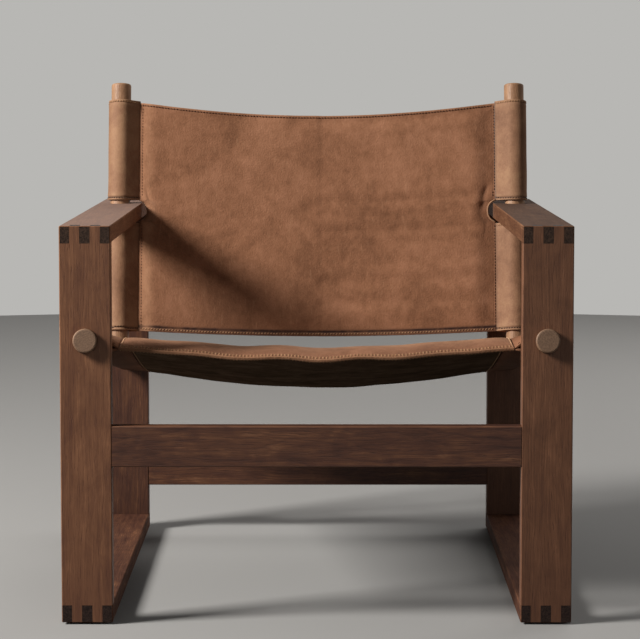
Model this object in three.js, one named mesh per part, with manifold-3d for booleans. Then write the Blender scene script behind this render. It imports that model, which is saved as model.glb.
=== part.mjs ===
// Leather sling lounge chair: two box-jointed plank frames, two stretchers, round rails and
// posts, and a padded leather seat and back that hang on them by sewn sleeves.
// Millimetres. +X is to the right seen from the front, +Y to the back, +Z up.
// The origin is on the floor, under the middle of the frames. Left and right are seen from the front.

import * as THREE from "three";
import { mergeVertices } from "three/addons/utils/BufferGeometryUtils.js";
import Module from "manifold-3d";

const wasm = await Module();
wasm.setup();

// Side frames
const chair_width = 711;
const frame_depth = 744;
const arm_height = 557.5;
const plank_width = 71;
const plank_thickness = 24;
const plank_arris = 1.2;
const corner_arris = 0.8;
const finger_count = 5;
const glue_line = 0.2;

// Glides pinned under the sleds
const glide_height = 3;
const glide_diameter = 26;
const glide_edge = 0.6;
const glide_inset = 40;
const glide_pin_diameter = 5;
const glide_pin_length = 12;

// Stretchers and their dowels
const stretcher_height = 57;
const stretcher_thickness = 24;
const front_stretcher_bottom = 222;
const rear_stretcher_bottom = 77;
const dowel_diameter = 10;
const dowel_length = 60;
const dowel_chamfer = 1;
const dowel_spacing = 30;
const dowel_end_room = 1;

// Seat rails
const rail_diameter = 34;
const rail_slope = 8.3;
const rail_front_height = 398;
const rail_stand_out = 9;
const rail_end_round = 2.5;

// Back posts
const post_diameter = 32;
const post_recline = 12;
const post_setback = 166.6;
const post_length = 442;
const post_top_round = 3;
const spigot_diameter = 14;
const spigot_depth = 26;
const spigot_end_room = 1;

// Leather
const leather_wall = 3.6;
const sleeve_slack = 0.3;
const seam_thickness = 4;
const seam_width = 9;
const seam_lips = 0.6;
const pad_rise = 2.2;
const pad_shoulder = 34;
const running_gap = 0.3;

// Back sling, along the posts from where their axes cross the rails
const back_strip_reach = 31.9;
const back_strip_angle = 3;
const back_bottom = 37.5;
const back_top = 414;
const back_slot_gap_below = 4;
const back_slot_room_front = 7;
const back_slot_room_rear = 3;
const back_notch_gap_below = 6.5;
const back_notch_gap_above = 6.3;
const back_notch_depth = 12;
const back_notch_round = 17;
const back_sag = 16;
const back_top_drop = 3;
const back_top_dip = 19;
const back_bottom_dip = 6;

// Seat sling, along the rails between the legs
const seat_front_gap = 6.7;
const seat_back_gap = 25.6;
const seat_strip_reach = 44;
const seat_lip_length = 100;
const seat_lip_angle = 21;
const seat_crest_angle = 8;
const seat_back_angle = -30;
const seat_sag_front = 15;
const seat_sag_crest = 14;
const seat_sag_back = 26;
const seat_ripple = 1.8;
const seat_ripple_length = 113;
const seat_ripple_offset = 62;
const seat_ripple_fade = 260;

// How the seat's curves run out, as powers of their shares
const lip_share = 2;
const fall_share = 1.7;
const hollow_share = 1.35;

// How finely round and soft shapes are faceted
const round_sides = 32;
const small_sides = 16;
const sleeve_arc_steps = 18;
const panel_columns = 22;
const panel_rows = 14;
const round_steps = 3;
const cut_overrun = 5;

// Sizes that follow from those above
const half_width = chair_width / 2;
const rail_x = half_width - plank_width / 2;
const inner_x = half_width - plank_width;
const front_y = -frame_depth / 2;
const back_y = frame_depth / 2;
const finger_width = plank_width / finger_count;
const rail_radius = rail_diameter / 2;
const post_radius = post_diameter / 2;
const slope = THREE.MathUtils.degToRad(rail_slope);
const recline = THREE.MathUtils.degToRad(post_recline);
const rail_sleeve_inside = rail_radius + sleeve_slack;
const rail_sleeve_outside = rail_sleeve_inside + leather_wall;
const post_sleeve_inside = post_radius + sleeve_slack;
const post_sleeve_outside = post_sleeve_inside + leather_wall;

// Places along the rails, from the front faces of the front legs
const rear_leg_along = (frame_depth - plank_thickness) / Math.cos(slope);
const post_along_rail = rear_leg_along - post_setback;
const seat_front = plank_thickness / Math.cos(slope) + seat_front_gap;
const seat_back = rear_leg_along - seat_back_gap;

// The rail frame: +Y runs back along the rails and +Z stands square to them
const rail_frame = new THREE.Matrix4()
  .makeTranslation(0, front_y, rail_front_height)
  .multiply(new THREE.Matrix4().makeRotationX(-slope));

// The post frame: +Z runs up along the posts, from where they cross the rails' axes
const post_foot = new THREE.Vector3(0, post_along_rail, 0).applyMatrix4(rail_frame);
const post_frame = new THREE.Matrix4()
  .makeTranslation(post_foot.x, post_foot.y, post_foot.z)
  .multiply(new THREE.Matrix4().makeRotationX(-recline));

// Where the arms cross the back sleeves, along the posts
const alongPost = (height) => (height - post_foot.z) / Math.cos(recline);
const arm_tilt = post_sleeve_outside * Math.tan(recline);
const back_slot_bottom = alongPost(arm_height - plank_thickness) - arm_tilt - back_slot_gap_below;
const back_notch_bottom = alongPost(arm_height - plank_thickness) - back_notch_gap_below;
const back_notch_top = alongPost(arm_height) + back_notch_gap_above;

// Finishes
const finish = (color, roughness) => new THREE.MeshStandardMaterial({ color, roughness, metalness: 0 });
const plank_finish = () => finish(0x5f4030, 0.55);
const dowel_finish = () => finish(0xa98463, 0.5);
const panel_finish = () => finish(0x8c5f47, 0.85);
const sleeve_finish = () => finish(0xa67a5c, 0.75);
const hidden_wood_finish = () => finish(0xc9a678, 0.7);
const glide_finish = () => finish(0x2b2a28, 0.8);

// A closed geometry becomes a solid for joins and cuts
function solidOf(geometry) {
  const shell = geometry.clone();
  for (const name of Object.keys(shell.attributes)) {
    if (name !== "position") shell.deleteAttribute(name);
  }
  const merged = mergeVertices(shell, 1e-4);
  const kept = [];
  const index = merged.index.array;
  for (let i = 0; i < index.length; i += 3) {
    const [a, b, c] = [index[i], index[i + 1], index[i + 2]];
    if (a !== b && b !== c && c !== a) kept.push(a, b, c);
  }
  const vertProperties = new Float32Array(merged.attributes.position.array);
  const triVerts = new Uint32Array(kept);
  const solid = new wasm.Manifold(new wasm.Mesh({ numProp: 3, vertProperties, triVerts }));
  if (solid.volume() > 0) return solid;
  for (let i = 0; i < kept.length; i += 3) kept.splice(i, 3, kept[i], kept[i + 2], kept[i + 1]);
  return new wasm.Manifold(new wasm.Mesh({ numProp: 3, vertProperties, triVerts: new Uint32Array(kept) }));
}

// A finished solid becomes a geometry again
function geometryOf(solid) {
  const mesh = solid.getMesh();
  const geometry = new THREE.BufferGeometry();
  geometry.setAttribute("position", new THREE.BufferAttribute(new Float32Array(mesh.vertProperties), 3));
  geometry.setIndex(new THREE.BufferAttribute(new Uint32Array(mesh.triVerts), 1));
  geometry.computeVertexNormals();
  return geometry;
}

function meshOf(name, solid, material) {
  const mesh = new THREE.Mesh(geometryOf(solid), material);
  mesh.name = name;
  return mesh;
}

// A block between two corners
function block(low, high) {
  const size = new THREE.Vector3().subVectors(high, low);
  const middle = new THREE.Vector3().addVectors(low, high).multiplyScalar(0.5);
  return solidOf(new THREE.BoxGeometry(size.x, size.y, size.z).translate(middle.x, middle.y, middle.z));
}

const at = (x, y, z) => new THREE.Vector3(x, y, z);

// A turned shape: its profile is spun round Z, then laid in place
function turned(profile, sides, placement) {
  const points = profile.map(([radius, height]) => new THREE.Vector2(radius, height));
  const geometry = new THREE.LatheGeometry(points, sides);
  geometry.applyMatrix4(new THREE.Matrix4().makeRotationX(Math.PI / 2));
  if (placement) geometry.applyMatrix4(placement);
  return solidOf(geometry);
}

// A plain round bar for bores, along Z between two heights
function roundBar(radius, low, high, sides, placement) {
  return turned([[0, low], [radius, low], [radius, high], [0, high]], sides, placement);
}

// The end of a turned bar: a quarter round from the side to the face
function roundedEnd(radius, height, round, direction) {
  const points = [];
  for (let i = 0; i <= round_steps; i += 1) {
    const angle = (i / round_steps) * (Math.PI / 2);
    const inset = round * (1 - Math.cos(angle));
    points.push([radius - inset, height - direction * round * (1 - Math.sin(angle))]);
  }
  return points;
}

// Turns a shape drawn across X, in Y and Z, so that its extrusion runs along X
const across_x = new THREE.Matrix4().makeBasis(at(0, 1, 0), at(0, 0, 1), at(1, 0, 0));

// Rectangle with its corners cut at 45 degrees
function easedRectangle(low_a, low_b, high_a, high_b, ease) {
  return [
    [low_a + ease, low_b], [high_a - ease, low_b], [high_a, low_b + ease], [high_a, high_b - ease],
    [high_a - ease, high_b], [low_a + ease, high_b], [low_a, high_b - ease], [low_a, low_b + ease],
  ].map(([a, b]) => new THREE.Vector2(a, b));
}

// One side frame as a closed loop with every long edge eased, which each plank is cut to
function frameEnvelope(side) {
  const outline = new THREE.Shape(easedRectangle(front_y, glide_height, back_y, arm_height, corner_arris));
  const opening = easedRectangle(
    front_y + plank_thickness, glide_height + plank_thickness,
    back_y - plank_thickness, arm_height - plank_thickness, corner_arris);
  outline.holes.push(new THREE.Path(opening.reverse()));
  const geometry = new THREE.ExtrudeGeometry(outline, {
    depth: plank_width - 2 * plank_arris,
    bevelEnabled: true,
    bevelThickness: plank_arris,
    bevelSize: plank_arris,
    bevelOffset: -plank_arris,
    bevelSegments: 1,
  });
  geometry.applyMatrix4(across_x);
  return solidOf(geometry.translate(side * rail_x - plank_width / 2 + plank_arris, 0, 0));
}

// The X of the low side of a finger, counted from the low side of the plank
const fingerLow = (side, place) => side * rail_x - plank_width / 2 + place * finger_width;

// Arms and sleds lie between fingers 1 and 3 of the legs
function lyingPlank(side, low_z) {
  const low_x = fingerLow(side, 0);
  let plank = block(at(low_x, front_y, low_z), at(low_x + plank_width, back_y, low_z + plank_thickness));
  for (let place = 1; place < finger_count; place += 2) {
    for (const [edge_y, inward] of [[front_y, 1], [back_y, -1]]) {
      const deep = edge_y + inward * (plank_thickness + glue_line);
      const out = edge_y - inward * cut_overrun;
      plank = plank.subtract(block(
        at(fingerLow(side, place), Math.min(deep, out), low_z - cut_overrun),
        at(fingerLow(side, place + 1), Math.max(deep, out), low_z + plank_thickness + cut_overrun)));
    }
  }
  return plank;
}

// Legs stand full height, with their outer and middle fingers cut away
function standingPlank(side, low_y) {
  const low_x = fingerLow(side, 0);
  const high_corner = at(low_x + plank_width, low_y + plank_thickness, arm_height);
  let plank = block(at(low_x, low_y, glide_height), high_corner);
  for (let place = 0; place < finger_count; place += 2) {
    const cut_low = fingerLow(side, place) - (place === 0 ? cut_overrun : glue_line);
    const cut_high = fingerLow(side, place + 1) + (place === finger_count - 1 ? cut_overrun : glue_line);
    for (const [edge_z, inward] of [[glide_height, 1], [arm_height, -1]]) {
      const deep = edge_z + inward * (plank_thickness + glue_line);
      const out = edge_z - inward * cut_overrun;
      plank = plank.subtract(block(
        at(cut_low, low_y - cut_overrun, Math.min(deep, out)),
        at(cut_high, low_y + plank_thickness + cut_overrun, Math.max(deep, out))));
    }
  }
  return plank;
}

// Bores that the rails and posts leave in the planks
function railBore(side) {
  const along_y = new THREE.Matrix4().makeRotationX(-Math.PI / 2);
  const placement = rail_frame.clone()
    .multiply(new THREE.Matrix4().makeTranslation(side * rail_x, 0, 0))
    .multiply(along_y);
  const low = -plank_thickness - rail_stand_out;
  const high = frame_depth + rail_stand_out + plank_thickness;
  return roundBar(rail_radius + running_gap, low, high, round_sides, placement);
}

function postBore(side) {
  const placement = post_frame.clone().multiply(new THREE.Matrix4().makeTranslation(side * rail_x, 0, 0));
  const high = post_length + cut_overrun;
  return roundBar(post_radius + running_gap, rail_diameter, high, round_sides, placement);
}

// Stretcher joints: dowel places shared by the legs, the stretchers and the dowels themselves
const stretchers = [
  { name: "front_stretcher", low_y: front_y, low_z: front_stretcher_bottom },
  { name: "rear_stretcher", low_y: back_y - stretcher_thickness, low_z: rear_stretcher_bottom },
];
const dowel_levels = [["lower", -1], ["upper", 1]];

function dowelPlace(stretcher, side, level) {
  return at(
    side * inner_x,
    stretcher.low_y + stretcher_thickness / 2,
    stretcher.low_z + stretcher_height / 2 + level * (dowel_spacing / 2));
}

function dowelHole(place) {
  const turn = new THREE.Matrix4().makeRotationY(Math.PI / 2).setPosition(place);
  const reach = dowel_length / 2 + dowel_end_room;
  return roundBar(dowel_diameter / 2 + running_gap, -reach, reach, small_sides, turn);
}

function drilled(solid, stretcher, sides) {
  let result = solid;
  for (const side of sides) {
    for (const [, level] of dowel_levels) {
      result = result.subtract(dowelHole(dowelPlace(stretcher, side, level)));
    }
  }
  return result;
}

// Glide places under the ends of a sled
const glidePlaces = (side) => [
  ["front", at(side * rail_x, front_y + glide_inset, 0)],
  ["rear", at(side * rail_x, back_y - glide_inset, 0)],
];

function glide(place) {
  const radius = glide_diameter / 2;
  const pin = glide_pin_diameter / 2;
  return turned([
    [0, 0], [radius - glide_edge, 0], [radius, glide_edge], [radius, glide_height],
    [pin, glide_height], [pin, glide_height + glide_pin_length], [0, glide_height + glide_pin_length],
  ], small_sides, new THREE.Matrix4().setPosition(place));
}

function glidePinHole(place) {
  const top = glide_height + glide_pin_length + running_gap;
  const radius = glide_pin_diameter / 2 + running_gap;
  return roundBar(radius, -cut_overrun, top, small_sides, new THREE.Matrix4().setPosition(place));
}

// The planks of one side frame, with their glides
function sideFrame(side, hand) {
  const group = new THREE.Group();
  const envelope = frameEnvelope(side);
  const rail_bore = railBore(side);
  const arm = lyingPlank(side, arm_height - plank_thickness).intersect(envelope).subtract(postBore(side));
  let sled = lyingPlank(side, glide_height).intersect(envelope);
  for (const [, place] of glidePlaces(side)) sled = sled.subtract(glidePinHole(place));
  group.add(meshOf(`${hand}_arm`, arm, plank_finish()));
  group.add(meshOf(`${hand}_sled`, sled, plank_finish()));
  const legs = [["front", front_y], ["rear", back_y - plank_thickness]];
  legs.forEach(([end, low_y], i) => {
    const leg = standingPlank(side, low_y).intersect(envelope).subtract(rail_bore);
    group.add(meshOf(`${hand}_${end}_leg`, drilled(leg, stretchers[i], [side]), plank_finish()));
  });
  for (const [end, place] of glidePlaces(side)) {
    group.add(meshOf(`${hand}_${end}_glide`, glide(place), glide_finish()));
  }
  return group;
}

// A stretcher butts against both frames
function stretcherBar(stretcher) {
  const outline = new THREE.Shape(easedRectangle(
    stretcher.low_y, stretcher.low_z,
    stretcher.low_y + stretcher_thickness, stretcher.low_z + stretcher_height, plank_arris));
  const reach = inner_x - glue_line;
  const geometry = new THREE.ExtrudeGeometry(outline, { depth: 2 * reach, bevelEnabled: false });
  geometry.applyMatrix4(across_x);
  return drilled(solidOf(geometry.translate(-reach, 0, 0)), stretcher, [-1, 1]);
}

function dowel(place) {
  const half = dowel_length / 2;
  const radius = dowel_diameter / 2;
  return turned([
    [0, -half], [radius - dowel_chamfer, -half], [radius, dowel_chamfer - half],
    [radius, half - dowel_chamfer], [radius - dowel_chamfer, half], [0, half],
  ], small_sides, new THREE.Matrix4().makeRotationY(Math.PI / 2).setPosition(place));
}

// Seat rail: a dowel through both legs, its ends standing proud and rounded
function seatRail(side) {
  const low = -rail_stand_out;
  const high = frame_depth / Math.cos(slope) + rail_stand_out;
  const foot = roundedEnd(rail_radius, low, rail_end_round, -1).reverse();
  const profile = [[0, low], ...foot, ...roundedEnd(rail_radius, high, rail_end_round, 1), [0, high]];
  const along_y = new THREE.Matrix4().makeRotationX(-Math.PI / 2);
  const place = new THREE.Matrix4().makeTranslation(side * rail_x, 0, 0);
  const rail = turned(profile, round_sides, place.clone().multiply(along_y));
  return rail.subtract(spigotHole(side));
}

// The post frame seen from the rail frame
const post_in_rail = rail_frame.clone().invert().multiply(post_frame);

function spigotHole(side) {
  const placement = post_in_rail.clone().multiply(new THREE.Matrix4().makeTranslation(side * rail_x, 0, 0));
  const low = spigotLow() - spigot_end_room;
  return roundBar(spigot_diameter / 2 + running_gap, low, rail_diameter, small_sides, placement);
}

// The post's foot is cut parallel to the rail and stands on its sleeve
const footLevel = () => rail_sleeve_outside + running_gap;
const spigotLow = () => rail_radius - spigot_depth;

function backPost(side) {
  const top_round = roundedEnd(post_radius, post_length, post_top_round, 1);
  const profile = [[0, 0], [post_radius, 0], ...top_round, [0, post_length]];
  const placement = new THREE.Matrix4().makeTranslation(side * rail_x, 0, 0);
  const under_foot = new THREE.BoxGeometry(2 * post_diameter, 2 * post_diameter, 2 * footLevel());
  under_foot.translate(side * rail_x, post_along_rail, 0);
  under_foot.applyMatrix4(post_in_rail.clone().invert());
  const body = turned(profile, round_sides, placement).subtract(solidOf(under_foot));
  const spigot = roundBar(spigot_diameter / 2, spigotLow(), post_diameter, small_sides, placement);
  return body.add(spigot);
}

// A sleeve's section: leather round a bar, its two layers drawn together at the seam.
// It points along +A. The loop starts at the seam's upper corner.
function teardrop(radius, reach, half_tip) {
  const distance = Math.hypot(reach, half_tip);
  const lift = Math.atan2(half_tip, reach) + Math.acos(radius / distance);
  const loop = [new THREE.Vector2(reach, half_tip)];
  for (let i = 0; i <= sleeve_arc_steps; i += 1) {
    const angle = lift + (i / sleeve_arc_steps) * 2 * (Math.PI - lift);
    loop.push(new THREE.Vector2(radius * Math.cos(angle), radius * Math.sin(angle)));
  }
  loop.push(new THREE.Vector2(reach, -half_tip));
  return loop;
}

const outerLoop = (outside, reach) => teardrop(outside, reach, seam_thickness / 2);
const innerLoop = (inside, reach) => teardrop(inside, reach - seam_width, seam_lips / 2);

// Lays a section's point down: turned by the strip's angle and pointed at the chair's middle
function turnedInboard(point, side, angle) {
  const inboard = point.x * Math.cos(angle) - point.y * Math.sin(angle);
  const over = point.x * Math.sin(angle) + point.y * Math.cos(angle);
  return [side * (rail_x - inboard), over];
}

// Closed body from a list of vertices and quads
function bodyFrom(points, quads) {
  const geometry = new THREE.BufferGeometry();
  const places = points.flatMap((point) => point.toArray());
  geometry.setAttribute("position", new THREE.Float32BufferAttribute(places, 3));
  geometry.setIndex(quads.flatMap(([a, b, c, d]) => [a, b, c, a, c, d]));
  return solidOf(geometry);
}

// Seat sling: how the strip between rail and seam tips along the rail, in radians.
// It droops at the front lip, crests, then falls away towards the back.
const seat_length = seat_back - seat_front;

// Closer columns and rows by the edges, where the padding swells
const spread = (share) => Math.sin((share * Math.PI) / 2);
const rowShare = (j) => (spread((j / panel_rows) * 2 - 1) + 1) / 2;
const columnShare = (i) => spread((i / panel_columns) * 2 - 1);
const seatRow = (j) => seat_front + rowShare(j) * seat_length;

function seatStripAngle(along) {
  const run = along - seat_front;
  const crest_at = seat_lip_length;
  let degrees = seat_crest_angle;
  if (run < crest_at) degrees -= seat_lip_angle * (1 - run / crest_at) ** lip_share;
  else {
    const left = 1 - (run - crest_at) / (seat_length - crest_at);
    degrees += (seat_back_angle - seat_crest_angle) * (1 - left ** fall_share);
  }
  return THREE.MathUtils.degToRad(degrees);
}

function seatSag(along) {
  const run = along - seat_front;
  const behind = (run - seat_lip_length) / (seat_length - seat_lip_length);
  if (behind > 0) return THREE.MathUtils.lerp(seat_sag_crest, seat_sag_back, behind);
  return THREE.MathUtils.lerp(seat_sag_crest, seat_sag_front, (1 - run / seat_lip_length) ** lip_share);
}

// Soft waves across the leather behind the front lip
function seatRipple(x, along) {
  const fade = Math.max(0, 1 - (along - seat_front) / seat_ripple_fade);
  return seat_ripple * fade * Math.cos((2 * Math.PI * (x - seat_ripple_offset)) / seat_ripple_length);
}

function seatSleeve(side) {
  const outer = outerLoop(rail_sleeve_outside, seat_strip_reach);
  const inner = innerLoop(rail_sleeve_inside, seat_strip_reach);
  const count = outer.length;
  const points = [];
  const quads = [];
  for (let station = 0; station <= panel_rows; station += 1) {
    const along = seatRow(station);
    const angle = seatStripAngle(along);
    for (const loop of [outer, inner]) {
      for (const point of loop) {
        const [x, over] = turnedInboard(point, side, angle);
        points.push(at(x, along, over));
      }
    }
  }
  const ring = 2 * count;
  for (let i = 0; i < count; i += 1) {
    const next = (i + 1) % count;
    for (let station = 0; station < panel_rows; station += 1) {
      const base = station * ring;
      quads.push([base + i, base + next, base + ring + next, base + ring + i]);
      const lining = base + count;
      quads.push([lining + next, lining + i, lining + ring + i, lining + ring + next]);
    }
    const last = panel_rows * ring;
    quads.push([next, i, count + i, count + next]);
    quads.push([last + i, last + next, last + count + next, last + count + i]);
  }
  return bodyFrom(points, quads).subtract(spigotHole(side));
}

// A padded panel from a grid of middle points, each with its half thickness as a vector
function paddedPanel(middle, half) {
  const points = [];
  const quads = [];
  const row = panel_columns + 1;
  const layer = row * (panel_rows + 1);
  for (const way of [1, -1]) {
    for (let j = 0; j <= panel_rows; j += 1) {
      for (let i = 0; i <= panel_columns; i += 1) {
        points.push(middle(i, j).addScaledVector(half(i, j), way));
      }
    }
  }
  for (let j = 0; j < panel_rows; j += 1) {
    for (let i = 0; i < panel_columns; i += 1) {
      const a = j * row + i;
      quads.push([a, a + 1, a + row + 1, a + row]);
      quads.push([layer + a + 1, layer + a, layer + a + row, layer + a + row + 1]);
    }
    const first = j * row;
    const last = first + panel_columns;
    quads.push([layer + first, first, first + row, layer + first + row]);
    quads.push([layer + last, layer + last + row, last + row, last]);
  }
  for (let i = 0; i < panel_columns; i += 1) {
    const top = panel_rows * row + i;
    quads.push([i + 1, i, layer + i, layer + i + 1]);
    quads.push([top, top + 1, layer + top + 1, layer + top]);
  }
  return bodyFrom(points, quads);
}

// The padding swells over a shoulder inside every edge
function swell(distance) {
  const share = Math.min(1, Math.max(0, distance / pad_shoulder));
  return seam_thickness / 2 + pad_rise * share * share * (3 - 2 * share);
}

// Where the seam's face lies for a strip of a given reach and angle, just clear of the sleeve
function seamPoint(side, reach, angle) {
  return turnedInboard(new THREE.Vector2(reach + running_gap, 0), side, angle);
}

function seatPanel() {
  const middle = (i, j) => {
    const along = seatRow(j);
    const [edge_x, edge_over] = seamPoint(1, seat_strip_reach, seatStripAngle(along));
    const across = columnShare(i);
    const x = edge_x * across;
    const hollow = (1 - across ** 2) ** hollow_share;
    return at(x, along, edge_over - hollow * (seatSag(along) - seatRipple(x, along)));
  };
  const half = (i, j) => {
    const along = seatRow(j);
    if (i === 0 || i === panel_columns) {
      const angle = seatStripAngle(along);
      const way = i === 0 ? -1 : 1;
      return at(way * Math.sin(angle), 0, Math.cos(angle)).multiplyScalar(seam_thickness / 2);
    }
    const place = middle(i, j);
    const [edge_x] = seamPoint(1, seat_strip_reach, seatStripAngle(along));
    const inside = Math.min(edge_x - Math.abs(place.x), along - seat_front, seat_back - along);
    return at(0, 0, swell(inside));
  };
  return paddedPanel(middle, half);
}

// Back sling: one strip angle all the way up
const strip = THREE.MathUtils.degToRad(back_strip_angle);

function backSleeve(side, low, high) {
  const place = (loop) => loop.map((point) => new THREE.Vector2(...turnedInboard(point, side, strip)));
  const outline = new THREE.Shape(place(outerLoop(post_sleeve_outside, back_strip_reach)));
  outline.holes.push(new THREE.Path(place(innerLoop(post_sleeve_inside, back_strip_reach)).reverse()));
  const geometry = new THREE.ExtrudeGeometry(outline, { depth: high - low, bevelEnabled: false });
  return solidOf(geometry.translate(0, 0, low));
}

// The upper sleeve clears the arm, by more in front than behind
function upperBackSleeve(side) {
  const world_up = new THREE.Matrix4().copy(post_frame).invert();
  const front = post_sleeve_outside;
  const level = arm_height + (back_slot_room_front + back_slot_room_rear) / 2;
  const tip = Math.atan2(back_slot_room_front - back_slot_room_rear, 2 * front);
  const arm_y = post_foot.y + (arm_height - post_foot.z) * Math.tan(recline);
  const cutter = new THREE.BoxGeometry(4 * post_diameter, 4 * post_diameter, 4 * post_diameter);
  cutter.translate(0, 0, -2 * post_diameter);
  cutter.applyMatrix4(new THREE.Matrix4().makeRotationX(-tip).setPosition(side * rail_x, arm_y, level));
  cutter.applyMatrix4(world_up);
  return backSleeve(side, back_slot_bottom, back_top).subtract(solidOf(cutter));
}

const lowerBackSleeve = (side) => backSleeve(side, back_bottom, back_slot_bottom);

// A cut-out through the panel's edge, through which the arm passes
function armNotch(side) {
  const [edge_x] = seamPoint(1, back_strip_reach, strip);
  const inside = edge_x - back_notch_depth;
  const round = back_notch_round;
  const outline = new THREE.Shape();
  outline.moveTo(half_width, back_notch_bottom);
  outline.lineTo(half_width, back_notch_top);
  outline.lineTo(inside + round, back_notch_top);
  outline.absarc(inside + round, back_notch_top - round, round, Math.PI / 2, Math.PI, false);
  outline.absarc(inside + round, back_notch_bottom + round, round, Math.PI, 1.5 * Math.PI, false);
  outline.closePath();
  const depth = 4 * post_diameter;
  const curveSegments = round_steps * 2;
  const geometry = new THREE.ExtrudeGeometry(outline, { depth, bevelEnabled: false, curveSegments });
  geometry.applyMatrix4(new THREE.Matrix4().makeBasis(at(1, 0, 0), at(0, 0, 1), at(0, -1, 0)));
  geometry.translate(0, depth / 2, 0);
  if (side < 0) geometry.scale(-1, 1, 1);
  return solidOf(geometry);
}

function backPanel() {
  const [edge_x, edge_over] = seamPoint(1, back_strip_reach, strip);
  const middle = (i, j) => {
    const across = columnShare(i);
    const hollow = 1 - across ** 2;
    const low = back_bottom - back_bottom_dip * hollow;
    const high = back_top - back_top_drop - back_top_dip * hollow;
    return at(edge_x * across, edge_over + back_sag * hollow, THREE.MathUtils.lerp(low, high, rowShare(j)));
  };
  const half = (i, j) => {
    if (i === 0 || i === panel_columns) {
      const way = i === 0 ? -1 : 1;
      return at(way * Math.sin(strip), Math.cos(strip), 0).multiplyScalar(seam_thickness / 2);
    }
    const place = middle(i, j);
    const bottom = middle(i, 0);
    const top = middle(i, panel_rows);
    const inside = Math.min(edge_x - Math.abs(place.x), place.z - bottom.z, top.z - place.z);
    return at(0, swell(inside), 0);
  };
  return paddedPanel(middle, half).subtract(armNotch(-1)).subtract(armNotch(1));
}

// The whole chair
function chair() {
  const group = new THREE.Group();
  const on_rails = new THREE.Group();
  const on_posts = new THREE.Group();
  on_rails.applyMatrix4(rail_frame);
  on_posts.applyMatrix4(post_frame);
  group.add(on_rails, on_posts);
  for (const [hand, side] of [["left", -1], ["right", 1]]) {
    group.add(sideFrame(side, hand));
    on_rails.add(meshOf(`${hand}_seat_rail`, seatRail(side), dowel_finish()));
    on_rails.add(meshOf(`${hand}_seat_sleeve`, seatSleeve(side), sleeve_finish()));
    on_posts.add(meshOf(`${hand}_back_post`, backPost(side), dowel_finish()));
    on_posts.add(meshOf(`${hand}_back_sleeve_lower`, lowerBackSleeve(side), sleeve_finish()));
    on_posts.add(meshOf(`${hand}_back_sleeve_upper`, upperBackSleeve(side), sleeve_finish()));
    for (const stretcher of stretchers) {
      for (const [level_name, level] of dowel_levels) {
        const name = `${hand}_${stretcher.name}_dowel_${level_name}`;
        group.add(meshOf(name, dowel(dowelPlace(stretcher, side, level)), hidden_wood_finish()));
      }
    }
  }
  for (const stretcher of stretchers) {
    group.add(meshOf(stretcher.name, stretcherBar(stretcher), plank_finish()));
  }
  on_rails.add(meshOf("seat_panel", seatPanel(), panel_finish()));
  on_posts.add(meshOf("back_panel", backPanel(), panel_finish()));
  return group;
}

export default chair();
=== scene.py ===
# %% [markdown]
# # A leather sling lounge chair
# Two closed oak frames carry round rails and posts, and two leather slings hang between them. The wood
# is exact already, so it stays as it was built and gets its finish here. The leather is soft, so every
# sleeve, panel, hem and stitch of it is modelled in this lesson.

# %% Load the fixed frame
import bmesh
import bpy
from math import acos, asin, atan2, cos, exp, hypot, pi, radians, sin, sqrt, tan
from mathutils import Matrix, Vector, noise
from mathutils.bvhtree import BVHTree


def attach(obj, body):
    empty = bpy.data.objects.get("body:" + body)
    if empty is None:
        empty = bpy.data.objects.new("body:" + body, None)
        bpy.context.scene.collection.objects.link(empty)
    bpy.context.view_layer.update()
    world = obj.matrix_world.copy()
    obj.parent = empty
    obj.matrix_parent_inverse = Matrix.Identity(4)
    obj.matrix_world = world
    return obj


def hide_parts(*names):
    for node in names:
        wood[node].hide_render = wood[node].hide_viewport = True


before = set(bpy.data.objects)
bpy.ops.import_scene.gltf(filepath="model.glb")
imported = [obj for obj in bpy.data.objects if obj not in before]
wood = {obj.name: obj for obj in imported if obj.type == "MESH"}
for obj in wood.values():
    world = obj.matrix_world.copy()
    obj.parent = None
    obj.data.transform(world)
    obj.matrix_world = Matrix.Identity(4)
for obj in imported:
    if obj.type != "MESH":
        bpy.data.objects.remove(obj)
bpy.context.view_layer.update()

scene = bpy.context.scene

# %% [markdown]
# The leather follows the bars that it wraps, so the lesson needs the same driving sizes as the frame.
# They are in millimetres, and each piece is scaled to metres once, when it is laid in its place.

# %% Sizes shared with the frame, in millimetres
MM = 0.001
# Where the rails and posts stand, and how they lean
RAIL_X, FRONT_Y, RAIL_HEIGHT = 320.0, -372.0, 398.0
RAIL_SLOPE = radians(8.3)
POST_RECLINE = radians(12)
POST_ALONG_RAIL = 561.02
ARM_HEIGHT = 557.5
# The outer radius of each sleeve, its wall, its seam, and the gaps between lips and beside a panel
RAIL_SLEEVE, POST_SLEEVE = 20.9, 19.9
WALL, SEAM, LIPS, GAP = 3.6, 4.0, 0.6, 0.3
TIP = SEAM / 2
# From a bar's axis to its seam
BACK_REACH, BACK_ANGLE = 31.9, radians(3)
SEAT_REACH = 44.0
# Heights along a post, then distances along a rail
BACK_LOW, BACK_HIGH, PANEL_HIGH, SLOT_LOW = 37.5, 414.0, 411.0, 213.09
NOTCH_LOW, NOTCH_HIGH, NOTCH_DEEP, NOTCH_ROUND = 214.82, 252.16, 12.0, 17.0
SEAT_FRONT, SEAT_LONG = 30.95, 671.07
SEAT_REAR = SEAT_FRONT + SEAT_LONG

rail_frame = Matrix.Translation((0, FRONT_Y, RAIL_HEIGHT)) @ Matrix.Rotation(-RAIL_SLOPE, 4, "X")
post_foot = rail_frame @ Vector((0, POST_ALONG_RAIL, 0))
post_frame = Matrix.Translation(post_foot) @ Matrix.Rotation(-POST_RECLINE, 4, "X")
TO_METRES = Matrix.Scale(MM, 4)
print("the posts stand at", [round(v, 1) for v in post_foot])

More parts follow.
